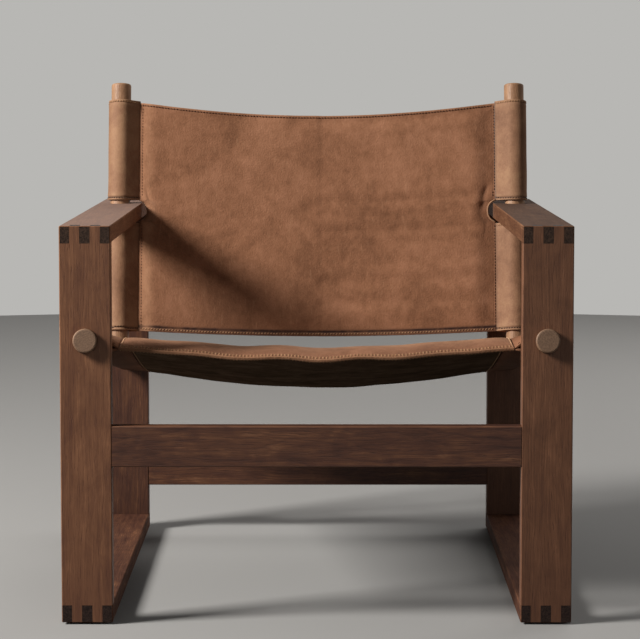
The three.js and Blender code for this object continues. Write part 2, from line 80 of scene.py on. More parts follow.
# %% [markdown]
# One helper turns a colour as it is written on a swatch into the linear light that the renderer adds up.
# One adds a shader node with its settings and links, and one starts a named material.

# %% Colour, node and material helpers
def linear(swatch):
    parts = [((swatch >> shift) & 255) / 255 for shift in (16, 8, 0)]
    return tuple(c / 12.92 if c <= 0.04045 else ((c + 0.055) / 1.055) ** 2.4 for c in parts) + (1.0,)


def add(tree, kind, inputs=None, **settings):
    made = tree.nodes.new("ShaderNode" + kind)
    for key, value in settings.items():
        setattr(made, key, value)
    for key, value in (inputs or {}).items():
        if isinstance(value, bpy.types.Node):
            value = value.outputs[0]
        if isinstance(value, bpy.types.NodeSocket):
            tree.links.new(value, made.inputs[key])
        else:
            made.inputs[key].default_value = value
    return made


def surface(name, **constants):
    material = bpy.data.materials.new(name)
    material.use_nodes = True
    shader = material.node_tree.nodes["Principled BSDF"]
    for socket, value in constants.items():
        shader.inputs[socket.replace("_", " ")].default_value = value
    return material, material.node_tree, shader


def wire(tree, shader, **sources):
    for socket, source in sources.items():
        if isinstance(source, bpy.types.Node):
            source = source.outputs[0]
        tree.links.new(source, shader.inputs[socket.replace("_", " ")])


# %% [markdown]
# These are short names for the nodes that come back all the time.

# %% Short names for common nodes
def calc(tree, operation, *values, **settings):
    return add(tree, "Math", dict(enumerate(values)), operation=operation, **settings)


def on_vectors(tree, operation, *values):
    return add(tree, "VectorMath", dict(enumerate(values)), operation=operation)


def remap(tree, *values, way="LINEAR"):
    """values: what is mapped, then from lowest, from highest, to lowest, to highest."""
    return add(tree, "MapRange", dict(enumerate(values)), interpolation_type=way)


def axes(tree, vector):
    return add(tree, "SeparateXYZ", {0: vector}).outputs


def fuzz(tree, where, scale, detail, roughness=0.5, distortion=0.0):
    return add(tree, "TexNoise", {"Vector": where, "Scale": scale, "Detail": detail,
                                  "Roughness": roughness, "Distortion": distortion})


def drawn_out(tree, where, share):
    return add(tree, "Mapping", {"Vector": where, "Scale": (1, 1, share)})


def weighted(tree, *parts):
    total = 0.0
    for part, weight in parts:
        total = calc(tree, "MULTIPLY_ADD", part, weight, total)
    return total


def ramp(tree, factor, *stops):
    made = add(tree, "ValToRGB", {"Fac": factor})
    elements = made.color_ramp.elements
    while len(elements) < len(stops):
        elements.new(0.5)
    for element, (position, swatch) in zip(elements, stops):
        element.position = position
        element.color = linear(swatch) if isinstance(swatch, int) else (swatch, swatch, swatch, 1)
    return made.outputs["Color"]


def blend(tree, factor, below, above, way="MIX"):
    made = add(tree, "Mix", {0: factor, 6: below, 7: above}, data_type="RGBA", blend_type=way)
    return made.outputs[2]


# %% [markdown]
# ## Fumed oak
# The planks are oak that ammonia fumes and oil have turned a deep brown. Growth rings are shells round
# the heart of the tree, so one ring pattern cut by each plank gives straight lines on one face and broad
# figure on the next, as sawn boards have. Over the rings lie fibres, long darker streaks, and clouds
# where the grain curls.

# %% The pattern of the wood, for any direction of the grain
RING = 0.0031


def oak_pattern(tree, place, grain, heart):
    # The grain is turned to run along Z, with the heart of the tree at the origin, in metres
    turn = {"X": (0, radians(-90), 0), "Y": (radians(90), 0, 0), "Z": (0, 0, 0)}[grain]
    lie = add(tree, "Mapping", {"Vector": place["Object"], "Rotation": turn, "Location": heart})
    # A slow wander of the trunk, 6 mm sideways over about 300 mm of length
    wander = fuzz(tree, drawn_out(tree, lie, 0.22), 15.0, 3.0, 0.55).outputs["Color"]
    trunk = on_vectors(tree, "ADD", lie, on_vectors(tree, "MULTIPLY", wander, (0.026, 0.026, 0)))
    flat = on_vectors(tree, "MULTIPLY", trunk, (1, 1, 0))
    radius = on_vectors(tree, "LENGTH", flat).outputs["Value"]
    # Each ring is dark at its late edge
    ring = calc(tree, "FRACT", calc(tree, "MULTIPLY", radius, 1 / RING))
    ring = ramp(tree, ring, (0.0, 0.62), (0.55, 0.5), (0.9, 0.25), (1.0, 0.6))
    # Fibres in cells of 1.6 mm, streaks in cells of 9 mm, and clouds of figure about 40 mm across
    fibre = fuzz(tree, drawn_out(tree, trunk, 0.035), 620.0, 3.0, 0.6)
    streak = fuzz(tree, drawn_out(tree, trunk, 0.06), 110.0, 4.0, 0.6)
    figure = fuzz(tree, drawn_out(tree, trunk, 0.55), 26.0, 5.0, 0.6, 1.1)
    return trunk, ring, fibre, streak, figure


# %% [markdown]
# The finish colours that pattern and adds short open pores. A plank's end shows the pores end on and
# drinks more oil, so it is darker and duller. Handled edges are rubbed a little lighter. Painted shade
# darkens the legs towards the foot and the arms' sides behind the sling, and the arms' tops get a painted
# sheen, the grey reflection of a pale room seen at a grazing angle.

# %% The oak finish
def oak(name, grain, heart, swatches, end_swatches, roughness, arris=0.34, ring_share=0.10, gloss=0.3,
        painted_sheen=None):
    material, tree, shader = surface(name, Roughness=roughness, IOR=1.5, Specular_IOR_Level=gloss)
    place = add(tree, "TexCoord").outputs
    trunk, ring, fibre, streak, figure = oak_pattern(tree, place, grain, heart)
    total = weighted(tree, (ring, ring_share), (fibre, 0.26), (streak, 0.30), (figure, 0.28))
    # The middle of that sum, since every part of it is about a half
    middle = 0.5 * (0.84 + ring_share)
    stops = (middle - 0.13, middle - 0.02, middle + 0.06, middle + 0.17)
    colour = ramp(tree, total, *zip(stops, swatches))
    darkest = linear(swatches[0])
    # Open pores, about 0.5 mm wide and 9 mm long
    pore = fuzz(tree, drawn_out(tree, trunk, 0.06), 900.0, 1.0)
    pores = ramp(tree, pore, (0.60, 0.0), (0.70, 1.0))
    colour = blend(tree, calc(tree, "MULTIPLY", pores, 0.45), colour, darkest)
    if grain == "Z":
        # The lowest 200 mm of a leg are painted darker towards the floor: painted shade
        height = axes(tree, place["Object"])["Z"]
        colour = blend(tree, remap(tree, height, 0.0, 0.2, 0.4, 0.0, way="SMOOTHSTEP"), colour, darkest)
    if painted_sheen:
        # Painted sheen: top faces are blended towards a grey, the reflection of a pale room at a grazing
        # angle
        facing = axes(tree, place["Normal"])
        colour = blend(tree, remap(tree, facing["Z"], 0.8, 0.95, 0.0, 0.5), colour, linear(painted_sheen))
        # Behind the sling the arm's sides are painted darker: painted shade, where the sling keeps the
        # light off
        back = axes(tree, place["Object"])["Y"]
        back = remap(tree, back, 0.215, 0.245, 0.0, 0.6, way="SMOOTHSTEP")
        shade_behind_sling = calc(tree, "MULTIPLY", calc(tree, "ABSOLUTE", facing["X"]), back)
        colour = blend(tree, shade_behind_sling, colour, darkest)
    # The ends: how far the surface faces along the grain
    along = {"X": (1, 0, 0), "Y": (0, 1, 0), "Z": (0, 0, 1)}[grain]
    facing = on_vectors(tree, "DOT_PRODUCT", place["Normal"], along).outputs["Value"]
    end = ramp(tree, calc(tree, "ABSOLUTE", facing), (0.75, 0.0), (0.9, 1.0))
    speck = fuzz(tree, trunk, 520.0, 3.0, 0.7)
    ends = ramp(tree, speck, (0.38, end_swatches[0]), (0.62, end_swatches[1]))
    colour = blend(tree, end, colour, blend(tree, 0.35, ends, ring, "MULTIPLY"))
    # The eased edges face between two axes, so the fourth powers of their normal add up to less than 1
    squares = on_vectors(tree, "MULTIPLY", place["Normal"], place["Normal"])
    fourth = on_vectors(tree, "DOT_PRODUCT", squares, squares).outputs["Value"]
    eased = ramp(tree, fourth, (0.5, 1.0), (0.86, 0.0))
    patchy = ramp(tree, figure, (0.35, 0.35), (0.6, 1.0))
    eased = calc(tree, "MULTIPLY", calc(tree, "MULTIPLY", eased, patchy), arris)
    colour = blend(tree, eased, colour, linear(swatches[3]))
    # Oil leaves the pores and the late wood a little duller, and sinks into the ends
    dull = remap(tree, total, middle - 0.2, middle + 0.2, roughness + 0.08, roughness - 0.05)
    dull = calc(tree, "MULTIPLY_ADD", end, 0.2, dull)
    relief = calc(tree, "SUBTRACT", calc(tree, "MULTIPLY_ADD", fibre, 0.35, ring), pores)
    bump = add(tree, "Bump", {"Strength": 0.5, "Distance": 0.00025, "Height": relief})
    wire(tree, shader, Base_Color=colour, Roughness=dull, Normal=bump)
    return material


# %% [markdown]
# The right-hand planks, farther from the lamp, get darker copies of the finish: painted shade. The sleds
# and the left rear leg, which stand in shade, get the darkest set, also painted shade, and the stretchers
# are of that darker wood. Each set of swatches goes from the darkest grain to the lightest.

# %% The planks' finishes
FUMED = (0x563526, 0x6c4731, 0x7c543b, 0x9a6c4c)
# Darker copies for the right-hand planks, away from the lamp: painted shade
FUMED_DEEP = (0x4d3022, 0x62402c, 0x704b35, 0x8e6146)
DEEPER = (0x452b1d, 0x5a3a27, 0x694832, 0x8f6547)
# The stretchers' own darker wood; on the sleds and the left rear leg this set is painted shade
DARKER = (0x321c14, 0x4b2e22, 0x5d3c2a, 0x8b6146)
FUMED_END = (0x211c1b, 0x423a38)
BROWN_END = (0x231a17, 0x40312b)
WORN_END = (0x2c221d, 0x523f34)
ALONG, UP = "fumed_oak_grain_front_to_back", "fumed_oak_grain_upright"
along_y = oak(ALONG, "Y", (0.0, 0.062, 0.0), FUMED, WORN_END, 0.72, gloss=0.12, painted_sheen=0x8b7a72)
shaded_y = oak(ALONG + "_shaded_copy", "Y", (0.01, 0.085, 0.0), DEEPER, WORN_END, 0.72, gloss=0.12,
             painted_sheen=0x463f3b)
dark_y = oak(ALONG + "_dark", "Y", (0.04, 0.07, 0.0), DARKER, BROWN_END, 0.72, gloss=0.12)
along_z = oak(UP, "Z", (0.05, 0.03, 0.0), FUMED, FUMED_END, 0.46)
shaded_z = oak(UP + "_shaded_copy", "Z", (0.09, 0.04, 0.0), FUMED_DEEP, FUMED_END, 0.46)
dark_z = oak(UP + "_dark", "Z", (0.07, 0.06, 0.0), DARKER, FUMED_END, 0.46)
along_x = oak("fumed_oak_grain_across", "X", (0.31, 0.02, 0.0), DARKER, FUMED_END, 0.46, 0.45, 0.14)


def dress(material, *names):
    for name in names:
        wood[name].data.materials.clear()
        wood[name].data.materials.append(material)
    print(material.name, "is on", ", ".join(names))


for side in ("left", "right"):
    dress(along_y if side == "left" else shaded_y, side + "_arm")
    dress(dark_y, side + "_sled")
    dress(along_z if side == "left" else shaded_z, side + "_front_leg")
    dress(dark_z if side == "left" else shaded_z, side + "_rear_leg")
dress(along_x, "front_stretcher", "rear_stretcher")

# %% [markdown]
# The round rails and posts are turned from ash that was only oiled, so they are lighter. Their ends, the
# knobs on the front legs and the tops of the posts, show the pores end on. The loose dowels inside the
# joints are plain beech, and the glides under the sleds are moulded black plastic.

# %% Turned ash, beech and moulded plastic
ASH_RAIL = (0x5e4534, 0x765845, 0x86664f, 0xa58767)
ASH_POST = (0x6f4f38, 0x8a6549, 0x9d7556, 0xbf9672)
BEECH = (0x9c7450, 0xb98d64, 0xc9a078, 0xdbb58f)
rail_ash = oak("oiled_ash_rail", "Y", (0.03, 0.02, 0.0), ASH_RAIL, (0x6f5542, 0x886a53), 0.46, 0.2)
post_ash = oak("oiled_ash_post", "Z", (0.02, 0.05, 0.0), ASH_POST, (0x74553f, 0x96745a), 0.46, 0.2)
beech = oak("plain_beech_dowel", "X", (0.05, 0.02, 0.0), BEECH, BEECH[::2], 0.6)
glide, tree, shader = surface("moulded_black_plastic", Roughness=0.55, IOR=1.46)
grit = fuzz(tree, add(tree, "TexCoord").outputs["Object"], 900.0, 2.0)
grain = add(tree, "Bump", {"Strength": 0.4, "Distance": 0.0002, "Height": grit})
wire(tree, shader, Base_Color=ramp(tree, grit, (0.35, 0x1c1b1a), (0.65, 0x302e2c)), Normal=grain)
for side in ("left", "right"):
    dress(rail_ash, side + "_seat_rail")
    dress(post_ash, side + "_back_post")
    dress(glide, side + "_front_glide", side + "_rear_glide")
    for place in ("front", "rear"):
        dress(beech, *(f"{side}_{place}_stretcher_dowel_{level}" for level in ("lower", "upper")))

# %% [markdown]
# ## Nubuck hide
# The slings are thick hide with its outer face sanded to a fine nap. Nap has no gloss, spreads light at
# its edges like cloth, and shows clouds where it lies one way or the other, small mottling, and pale
# scratches. Two painted values steer the colour: one is painted shade that darkens grooves, folds, seams,
# notches and undersides, the other lightens rubbed edges and paints highlights where a roll or a crest
# catches the light. The hide round the posts is pulled smooth and handled, so it is less dull.

# %% The hide finish
def hide(name, swatches, roughness, sheen, relief, cloud=0.10, scratch=0.5, gloss=0.25):
    material, tree, shader = surface(
        name, Roughness=roughness, IOR=1.45, Specular_IOR_Level=gloss,
        Sheen_Weight=sheen, Sheen_Roughness=0.45, Sheen_Tint=linear(0xd9b79a))
    place = add(tree, "TexCoord").outputs["Object"]
    clouds = fuzz(tree, place, 1 / cloud, 4.0, 0.55, 0.6)
    mottle = fuzz(tree, place, 1 / 0.017, 5.0, 0.68)
    nap = fuzz(tree, place, 1 / 0.0026, 2.0, 0.6)
    # The nap was brushed up and down, in strokes 12 mm wide
    brushed = fuzz(tree, drawn_out(tree, place, 0.25), 1 / 0.012, 4.0, 0.65, 0.4)
    total = weighted(tree, (clouds, 0.46), (mottle, 0.29), (nap, 0.13), (brushed, 0.12))
    colour = ramp(tree, total, *zip((0.40, 0.50, 0.60), swatches))
    pale = linear(swatches[3])
    # Pale scratches 1 mm wide and a few centimetres long, in two directions
    for turn, scale in ((0.6, 300.0), (-0.9, 230.0)):
        lie = {"Vector": place, "Rotation": (0.2, turn, 0.4), "Scale": (1, 1, 0.06)}
        line = ramp(tree, fuzz(tree, add(tree, "Mapping", lie), scale, 1.5), (0.64, 0.0), (0.74, 0.35))
        colour = blend(tree, calc(tree, "MULTIPLY", line, scratch), colour, pale)
    # The painted shade and the rubbing with its painted highlights are both broken up by the mottling
    patchy = remap(tree, mottle, 0.35, 0.65, 0.65, 1.15)
    for painted, painted_tone in (("painted_shade_mask", linear(0x35211a)), ("rub_and_highlight", pale)):
        painted_amount = add(tree, "Attribute", attribute_name=painted).outputs["Fac"]
        colour = blend(tree, calc(tree, "MULTIPLY", painted_amount, patchy, use_clamp=True), colour, painted_tone)
    # The grain of the skin, cells of 2.4 mm, under the nap
    cells = {"Vector": place, "Scale": 1 / 0.0024, "Randomness": 1.0}
    cells = add(tree, "TexVoronoi", cells, feature="SMOOTH_F1")
    height = calc(tree, "MULTIPLY_ADD", cells, 0.5, nap)
    height = calc(tree, "MULTIPLY_ADD", mottle, 1.2, height)
    bump = add(tree, "Bump", {"Strength": 0.7, "Distance": relief, "Height": height})
    wire(tree, shader, Base_Color=colour, Normal=bump)
    return material


PANEL = (0x734c34, 0x895d42, 0x9a6b4f, 0xb08363)
SLEEVE = (0x77543d, 0x8a644a, 0x9a7456, 0xb08b6b)
# The seat's hide is a darker copy of the panel's: painted shade for the weaker light on the seat's top
SEAT = (0x694430, 0x7d543c, 0x8d6148)
FLESH = (0x60503f, 0x735f4c, 0x84705b, 0x93806c)
EDGE = (0x6d4a36, 0x855d46, 0x9c745a, 0xb48c70)
panel_hide = hide("nubuck_hide_panel", PANEL, 0.88, 0.15, 0.0006)
sleeve_hide = hide("nubuck_hide_sleeve", SLEEVE, 0.7, 0.04, 0.0004, 0.07, 0.3)
seat_hide = hide("nubuck_hide_seat", (*SEAT, 0xae8462), 0.9, 0.08, 0.0006, 0.10, 0.35)
seat_sleeve_hide = hide("nubuck_hide_seat_sleeve", (*SEAT, 0xa1775a), 0.9, 0.05, 0.0005, gloss=0.1)
flesh_side = hide("flesh_side_of_hide", FLESH, 1.0, 0.0, 0.0008, 0.06, 0.0, gloss=0.0)
edge_hide = hide("cut_edge_of_hide", EDGE, 0.8, 0.1, 0.0006, 0.03, 0.0)

# %% [markdown]
# Waxed linen thread shows as a row of small beads, with the lay of the strands across each bead. It
# comes in four tones: dark, brown, tan and light.

# %% Waxed thread
def thread(name, dark, light):
    material, tree, shader = surface(name, Roughness=0.7, IOR=1.5, Specular_IOR_Level=0.12)
    strand = fuzz(tree, add(tree, "TexCoord").outputs["Object"], 700.0, 1.0)
    wire(tree, shader, Base_Color=ramp(tree, strand, (0.35, dark), (0.65, light)))
    return material


dark_thread = thread("waxed_linen_thread_dark", 0x23140e, 0x402a1e)
brown_thread = thread("waxed_linen_thread_brown", 0x4a3126, 0x6c4a3a)
light_thread = thread("waxed_linen_thread_light", 0xa57f5e, 0xcfa783)
tan_thread = thread("waxed_linen_thread_tan", 0x8a6546, 0xb68f6c)


# %% [markdown]
# ## Making a leather piece
# A piece of leather starts as a flat grid or as a strip of its outer face. Its wall comes from the
# Solidify modifier, thinner where a painted weight says so, and the Bevel modifier rounds the cut edges.
# The mesh is made in the millimetres of the bar that carries it and laid in its place once, so that the
# object itself stays at the origin.

# %% From a face to a finished piece
def piece(name, bm, *materials, rounded=True):
    for face in bm.faces:
        face.smooth = rounded
    mesh = bpy.data.meshes.new(name)
    bm.to_mesh(mesh)
    bm.free()
    for material in materials:
        mesh.materials.append(material)
    made = bpy.data.objects.new(name, mesh)
    scene.collection.objects.link(made)
    return made


def leather(node, bm, lay, wall, offset, material, bevel=1.1, lining=None, edge=None):
    bmesh.ops.transform(bm, matrix=TO_METRES @ lay, verts=bm.verts)
    if lay.determinant() < 0:
        bmesh.ops.reverse_faces(bm, faces=bm.faces)
    made = piece(node + "_hide", bm, material, edge or edge_hide, lining or material)
    made.vertex_groups.new(name="wall")
    shell = made.modifiers.new("wall", "SOLIDIFY")
    shell.thickness, shell.offset = wall * MM, offset
    shell.vertex_group = "wall"
    shell.use_even_offset = True
    shell.material_offset_rim, shell.material_offset = 1, 2
    rounding = made.modifiers.new("rounded_edges", "BEVEL")
    rounding.width, rounding.segments = bevel * MM, 3
    rounding.limit_method, rounding.angle_limit = "ANGLE", radians(50)
    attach(made, "root")
    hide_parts(node)
    print(f"{made.name}: {len(made.data.polygons)} faces before its wall of {wall} mm")
    return made


# %% [markdown]
# Shapes are drawn with a soft step, a hump, a drift that is always the same at the same place, and
# stations that crowd at both ends of a length.

# %% Curves and stations
def smooth(x):
    x = min(max(x, 0.0), 1.0)
    return x * x * (3 - 2 * x)


def hump(x, width):
    return exp(-((x / width) ** 2))


def drift(x, y, z):
    return noise.noise(Vector((x, y, z)))


def steps(low, high, count):
    return [low + (high - low) * k / count for k in range(count + 1)]


def spaced(length, from_start, from_end, step):
    low, high = max(from_start), length - max(from_end)
    middle = steps(low, high, max(1, round((high - low) / step)))
    return sorted({*from_start, *(length - d for d in from_end), *middle})


def wall_and_paint_layers(bm):
    """The weight that thins the wall, and the two painted values: painted shade, and rubbing with painted
    highlights.
    """
    floats = bm.verts.layers.float
    return bm.verts.layers.deform.verify(), floats.new("painted_shade_mask"), floats.new("rub_and_highlight")


def turn_faces(bm, way):
    """Turns all faces of a strip or grid, so that they face where way(the middle of a face) points."""
    bmesh.ops.recalc_face_normals(bm, faces=bm.faces)
    if sum(face.normal.dot(way(face.calc_center_median())) for face in bm.faces) < 0:
        bmesh.ops.reverse_faces(bm, faces=bm.faces)


# %% [markdown]
# ## The sleeves
# Each sling has a sleeve along both sides: hide wrapped round the bar and drawn together at a seam. Seen
# along the bar it is a teardrop. The curve is a point spun round the bar's axis, its two straight flanks
# end at the seam's lips, and that outline is extruded along the bar, station by station. A sleeve could
# also be a curve with a bevel, but the stations let the hems dip at their stitch lines.

# %% The teardrop outline, as a chain of edges
ARC_STEPS = 40
FLANK = (0.3, 0.6, 0.8, 0.92, 1.0)


def lift_off(radius, reach):
    """The angle at which a flank that ends at a lip leaves the circle."""
    return atan2(TIP, reach) + acos(radius / hypot(reach, TIP))


def teardrop(bm, radius, reach):
    lift = lift_off(radius, reach)
    start = bm.verts.new((radius * cos(lift), radius * sin(lift), 0))
    sweep = 2 * (pi - lift)
    bmesh.ops.spin(bm, geom=[start], cent=(0, 0, 0), axis=(0, 0, 1), angle=sweep, steps=ARC_STEPS)
    arc = list(bm.verts)
    for end, way in ((arc[0], 1), (arc[-1], -1)):
        flank = end.co.copy()
        for share in FLANK:
            end = bmesh.ops.extrude_vert_indiv(bm, verts=[end])["verts"][0]
            end.co = flank.lerp(Vector((reach, way * TIP, 0)), share)


def lip_wall(co, radius):
    """The wall's thickness: full round the bar, and half the seam where the two lips meet."""
    return min(WALL, max(TIP, abs(co.y)) - LIPS / 2) if co.x > 0.6 * radius else WALL


def extruded(bm, count):
    """Extrudes a chain of edges into a strip of that many rows, and returns the rows of vertices."""
    rows = [list(bm.verts)]
    edges = list(bm.edges)
    for _ in range(count - 1):
        made = bmesh.ops.extrude_edge_only(bm, edges=edges)["geom"]
        rows.append([g for g in made if isinstance(g, bmesh.types.BMVert)])
        new = set(rows[-1])
        edges = [g for g in made if isinstance(g, bmesh.types.BMEdge) and set(g.verts) <= new]
    return rows


# %% [markdown]
# The hide is drawn in by half a millimetre where a hem's stitches pull it, and swells beside them. Away
# from the hems it is never quite even.

# %% Hems and swellings
HEM_LINE = 4.4
HEM_STOPS = (0, 1.2, 2.4, 3.4, 4.2, 5.0, 6.0, 7.6, 10, 14)


def swollen(co, rim, reach, at):
    """Moves a point of the outline in or out. rim: distance to the nearest rim. at: where in the drift."""
    flat = Vector((co.x, co.y, 0))
    swell = 0.35 * hump(rim - 1.6, 1.4) - 0.55 * hump(rim - HEM_LINE, 1.1) + 0.3 * hump(rim - 8.5, 2.5)
    swell += 0.5 * drift(co.x / 30, co.y / 30, at)
    return flat + flat.normalized() * swell * smooth((reach - co.x) / 10)


def by_the_seam(co, reach):
    return smooth((co.x - reach + 4) / 4)


def mirrored(side):
    return Matrix.Scale(-1, 4, Vector((1, 0, 0))) if side == "right" else Matrix.Identity(4)


def wrapped(node, lay, radius, reach, length, step, point, material, edge=None):
    """point turns a point of the outline and a station into a place and two painted values."""
    stops = spaced(length, HEM_STOPS, HEM_STOPS, step)
    bm = bmesh.new()
    group, painted_shade_mask, rub_and_highlight = wall_and_paint_layers(bm)
    teardrop(bm, radius, reach)
    for stop, row in zip(stops, extruded(bm, len(stops))):
        for v in row:
            v[group][0] = lip_wall(v.co, radius) / WALL
            place, dark, light = point(v.co, stop)
            v.co, v[painted_shade_mask], v[rub_and_highlight] = place, min(1, dark), min(1, light)
    turn_faces(bm, lambda middle: Vector((middle.x, middle.y, 0)))
    return leather(node, bm, lay, WALL, -1, material, edge=edge)


# %% [markdown]
# The back's sleeves are cut short at the arm: one below it and one above, whose lower hem bows over the
# arm, higher in front than behind. The right-hand ones are the left-hand ones mirrored.

# %% The four sleeves of the back
OVER_FRONT, OVER_REAR = 7.0, 3.0
BACK_DRIFT = {"left": 7, "right": 19}
arm_y = post_foot.y + (ARM_HEIGHT - post_foot.z) * tan(POST_RECLINE)
bow = (OVER_FRONT - OVER_REAR) / (2 * POST_SLEEVE)


def over_the_arm(y):
    """Height along the post at which the upper sleeve's lower rim passes a point y behind its axis."""
    s, c = sin(POST_RECLINE), cos(POST_RECLINE)
    clear = ARM_HEIGHT + (OVER_FRONT + OVER_REAR) / 2
    return (clear - post_foot.z + y * s - bow * (post_foot.y + y * c - arm_y)) / (c + bow * s)


def behind_axis(co):
    """How far behind the post's axis a point of the section lies, once the section is turned."""
    return co.x * sin(BACK_ANGLE) + co.y * cos(BACK_ANGLE)


def back_rims(part, y=0.0):
    """Heights along the post of a sleeve's two rims, at a point y behind the post's axis."""
    return (BACK_LOW, SLOT_LOW) if part == "lower" else (over_the_arm(y), BACK_HIGH)


def back_lay(side):
    turn = Matrix.Translation((-RAIL_X, 0, 0)) @ Matrix.Rotation(BACK_ANGLE, 4, "Z")
    return post_frame @ mirrored(side) @ turn


def back_sleeve(side, part):
    low, high = back_rims(part)
    length = high - low

    def point(co, stop):
        low, high = back_rims(part, behind_axis(co))
        z = low + (high - low) * stop / length
        rim = min(z - low, high - z)
        # The groove at the low rim, the seam and the outer side are painted darker: painted shade
        groove = (0.1 if rim == high - z else 0.7) * hump(rim - HEM_LINE, 1.3)
        dark = groove + 0.5 * by_the_seam(co, BACK_REACH) + 0.22 * smooth((-co.x - 9) / 10)
        light = 0.5 * hump(rim, 1.8) + 0.15 * hump(rim - 8.5, 2.5)
        return swollen(co, rim, BACK_REACH, z / 45 + BACK_DRIFT[side]) + Vector((0, 0, z)), dark, light

    node = f"{side}_back_sleeve_{part}"
    return wrapped(node, back_lay(side), POST_SLEEVE, BACK_REACH, length, 7, point, sleeve_hide)


back_sleeves = {(side, part): back_sleeve(side, part)
                for side in ("left", "right") for part in ("lower", "upper")}

# %% [markdown]
# The seat's sleeves run the length of the rails. The sling pulls them down harder towards the back, so
# the seam turns round the rail from station to station.

# %% The two sleeves of the seat
LIP_LONG, LIP_ANGLE, CREST_ANGLE, FALL_ANGLE = 100.0, 21.0, 8.0, -30.0
SEAT_DRIFT = {"left": 3, "right": 11}


def seat_angle(along):
    run = along - SEAT_FRONT
    if run < LIP_LONG:
        return radians(CREST_ANGLE - LIP_ANGLE * (1 - run / LIP_LONG) ** 2)
    left = 1 - (run - LIP_LONG) / (SEAT_LONG - LIP_LONG)
    return radians(CREST_ANGLE + (FALL_ANGLE - CREST_ANGLE) * (1 - left ** 1.7))


def seat_sleeve(side):
    def point(co, stop):
        rim = min(stop, SEAT_LONG - stop)
        # The hide is painted darker underneath, at its hem grooves and by its seam: painted shade
        dark = 0.2 * hump(rim - HEM_LINE, 1.3) + 0.2 * by_the_seam(co, SEAT_REACH)
        dark += 0.62 * smooth((-co.y - 1) / 10)
        turn = Matrix.Rotation(seat_angle(SEAT_FRONT + stop), 3, "Z")
        outline = swollen(co, rim, SEAT_REACH, stop / 50 + SEAT_DRIFT[side])
        return turn @ outline + Vector((0, 0, stop)), dark, 0.25 * hump(rim, 1.8)

    # The section's plane (A, B) becomes the rail frame's (X, Z), and the stations run along Y
    stand = Matrix(((1, 0, 0, -RAIL_X), (0, 0, 1, SEAT_FRONT), (0, 1, 0, 0), (0, 0, 0, 1)))
    lay = rail_frame @ mirrored(side) @ stand
    return wrapped(side + "_seat_sleeve", lay, RAIL_SLEEVE, SEAT_REACH, SEAT_LONG, 9, point,
                   seat_sleeve_hide, seat_sleeve_hide)


seat_sleeves = {side: seat_sleeve(side) for side in ("left", "right")}

# %% [markdown]
# The foot of each post has a spigot that goes down into the rail, so the seat's sleeve is punched there.
# A cylinder a little wider than the spigot is taken out of the finished hide with the Boolean modifier,
# the result is kept as the sleeve's mesh, and the cylinder is thrown away.

# %% The punched holes
SPIGOT_HOLE, PUNCH_LONG, PUNCH_MIDDLE = 7.3, 36, 26


def punched(sleeve, side):
    bm = bmesh.new()
    stand = Matrix.Translation((-RAIL_X if side == "left" else RAIL_X, 0, PUNCH_MIDDLE))
    bmesh.ops.create_cone(bm, cap_ends=True, segments=32, radius1=SPIGOT_HOLE, radius2=SPIGOT_HOLE,
                          depth=PUNCH_LONG, matrix=TO_METRES @ post_frame @ stand)
    punch = piece("punch", bm, rounded=False)
    cut = sleeve.modifiers.new("spigot_hole", "BOOLEAN")
    cut.operation, cut.solver, cut.object = "DIFFERENCE", "EXACT", punch
    view = bpy.context.evaluated_depsgraph_get()
    mesh = bpy.data.meshes.new_from_object(
        sleeve.evaluated_get(view), preserve_all_data_layers=True, depsgraph=view)
    sleeve.modifiers.clear()
    sleeve.data = mesh
    bpy.data.objects.remove(punch)
    print(sleeve.name, "has", len(mesh.polygons), "faces once it is punched")


for side, sleeve in seat_sleeves.items():
    punched(sleeve, side)

# %% [markdown]
# ## The two panels
# Each panel is a padded hide: two layers over thin wadding, thin where it is sewn and fuller inside.
# A flat grid takes the panel's shape, one vertex at a time, because a stretched sling has no operator of
# its own: it sags in a hollow between its seams. Rows and columns crowd at the hems, where the stitches
# draw a groove. Nothing is simulated, because a hide as thick as this one and held on both sides
# hardly moves.

# %% A grid whose rows and columns are given
PANEL_WALL = 8.4


def grid(columns, rows, point):
    """point turns one of the columns and one of the rows into a place, a wall and two painted values."""
    bm = bmesh.new()
    bmesh.ops.create_grid(bm, x_segments=len(columns) - 1, y_segments=len(rows) - 1, size=1)
    group, painted_shade_mask, rub_and_highlight = wall_and_paint_layers(bm)
    for v in bm.verts:
        i = round((v.co.x + 1) / 2 * (len(columns) - 1))
        j = round((v.co.y + 1) / 2 * (len(rows) - 1))
        v.co, wall, dark, light = point(columns[i], rows[j])
        v[group][0] = wall / PANEL_WALL
        v[painted_shade_mask] = min(max(dark, 0), 1)
        v[rub_and_highlight] = min(max(light, 0), 1)
    return bm


def both_sides(half, digits):
    return sorted({round(x, digits) for x in half + [-x for x in half]})


# %% [markdown]
# A panel's wall is the least of what its four edges allow. At a hem the hide is folded, then drawn in by
# the stitches, and then the padding begins. At a side seam the padding rolls over like a cushion's edge,
# or, where the seam lies in a thin strip, climbs slowly.

# %% The wall of a panel
FOLD, SEAM_LINE = 4.4, 2.6
SIDE_STOPS = (0, 1.1, 2, 2.8, 3.8, 5, 6.3, 7.6, 8.9, 10.2, 11.5, 12.8, 14.1, 15.4, 16.8,
              18.2, 19.6, 21.2, 23, 25.4, 28.6, 33)


def padded(share):
    return SEAM + (PANEL_WALL - SEAM) * share


def hem_wall(distance, line, groove=1.5):
    pad = padded(smooth((distance - line) / 26))
    fold = FOLD + 0.4 * hump(distance - line / 2, line / 2)
    share = smooth((distance - line + 1) / 2)
    return fold * (1 - share) + pad * share - groove * hump(distance - line, 0.9)


def cushion(distance, roll):
    s = min(max(distance / roll, 0.0), 1.0)
    return sqrt(1 - (1 - s) ** 2)


